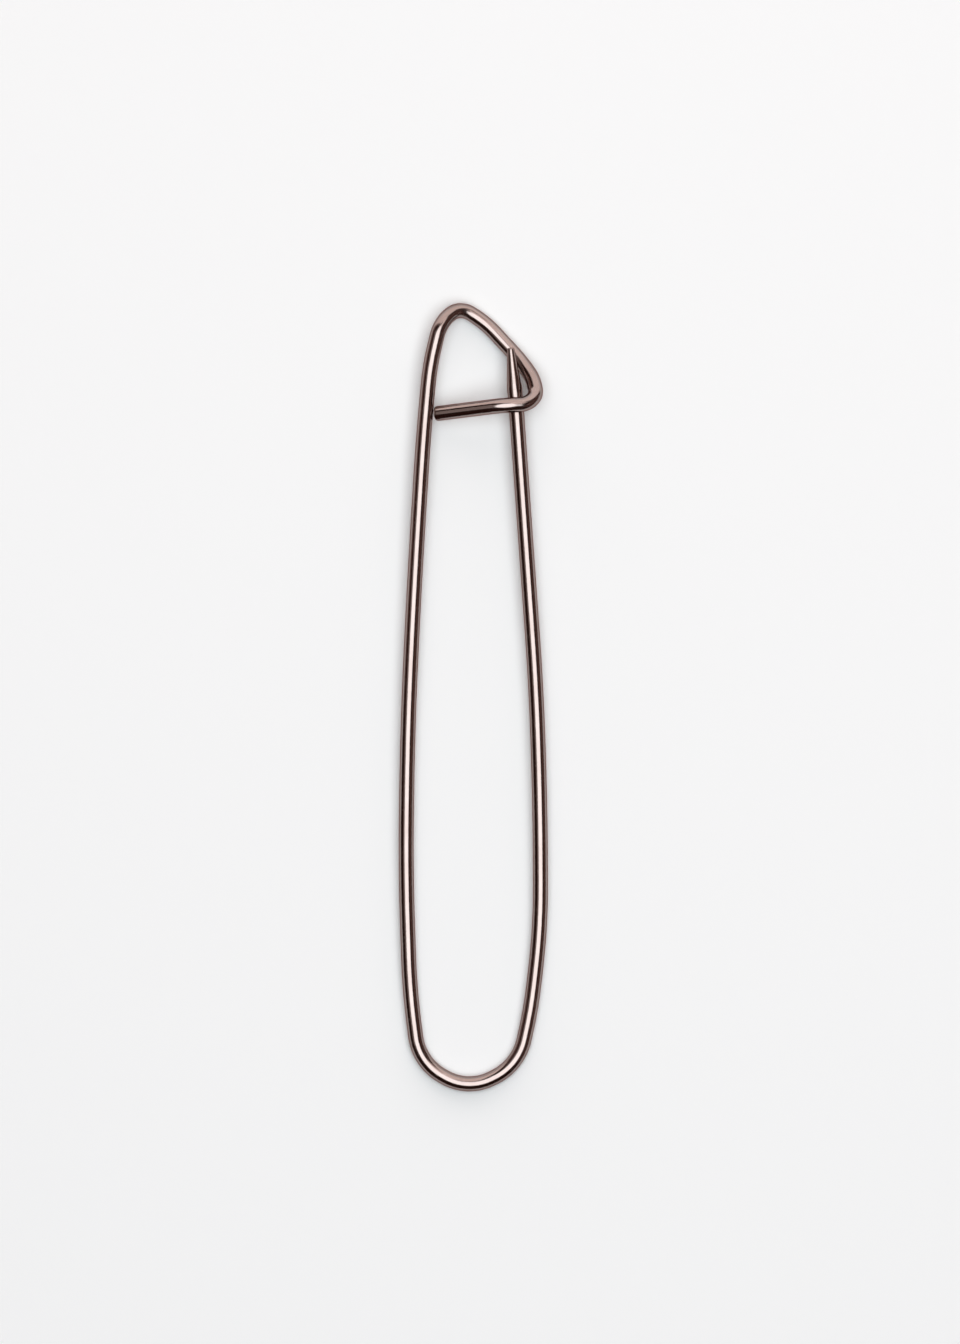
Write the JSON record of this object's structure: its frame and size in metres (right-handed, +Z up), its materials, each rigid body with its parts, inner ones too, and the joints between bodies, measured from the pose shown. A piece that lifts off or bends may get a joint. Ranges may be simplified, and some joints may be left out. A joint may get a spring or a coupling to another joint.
{
  "type": "stitch holder",
  "caption": "Open stitch holder formed from a long springy wire loop, with a blunt ground point that a hooked, folded head holds shut.",
  "frame": {"origin": "on the surface that the holder lies on, under the middle of its outline", "axes": "+X across from the back leg to the needle leg, +Y along from the heel to the crown, +Z up from the surface"},
  "size_m": [0.0268, 0.142, 0.0088],
  "materials": {
    "wire": "bright drawn wire, anodised with a faint bronze tint",
    "ground_wire": "ground and polished, faint bronze tint"
  },
  "bodies": {
    "needle": {"needle_point": "ground_wire", "needle_leg": "wire", "heel_bend": "wire"},
    "frame": {"back_leg": "wire", "crown_bend": "wire", "catch_slant": "wire", "hook_bend": "wire", "crossbar": "wire"}
  },
  "joints": [
    {"name": "catch_release", "type": "hinge", "parent": "needle", "child": "frame", "pos_m": [-0.00002, -0.06962, 0.00138], "axis": [0.4027, 0.0208, -0.9151], "range_deg": [0, 5.3], "stiffness_Nm_per_rad": 1, "springref_deg": -1.32, "deforming": ["heel_bend"]}
  ]
}
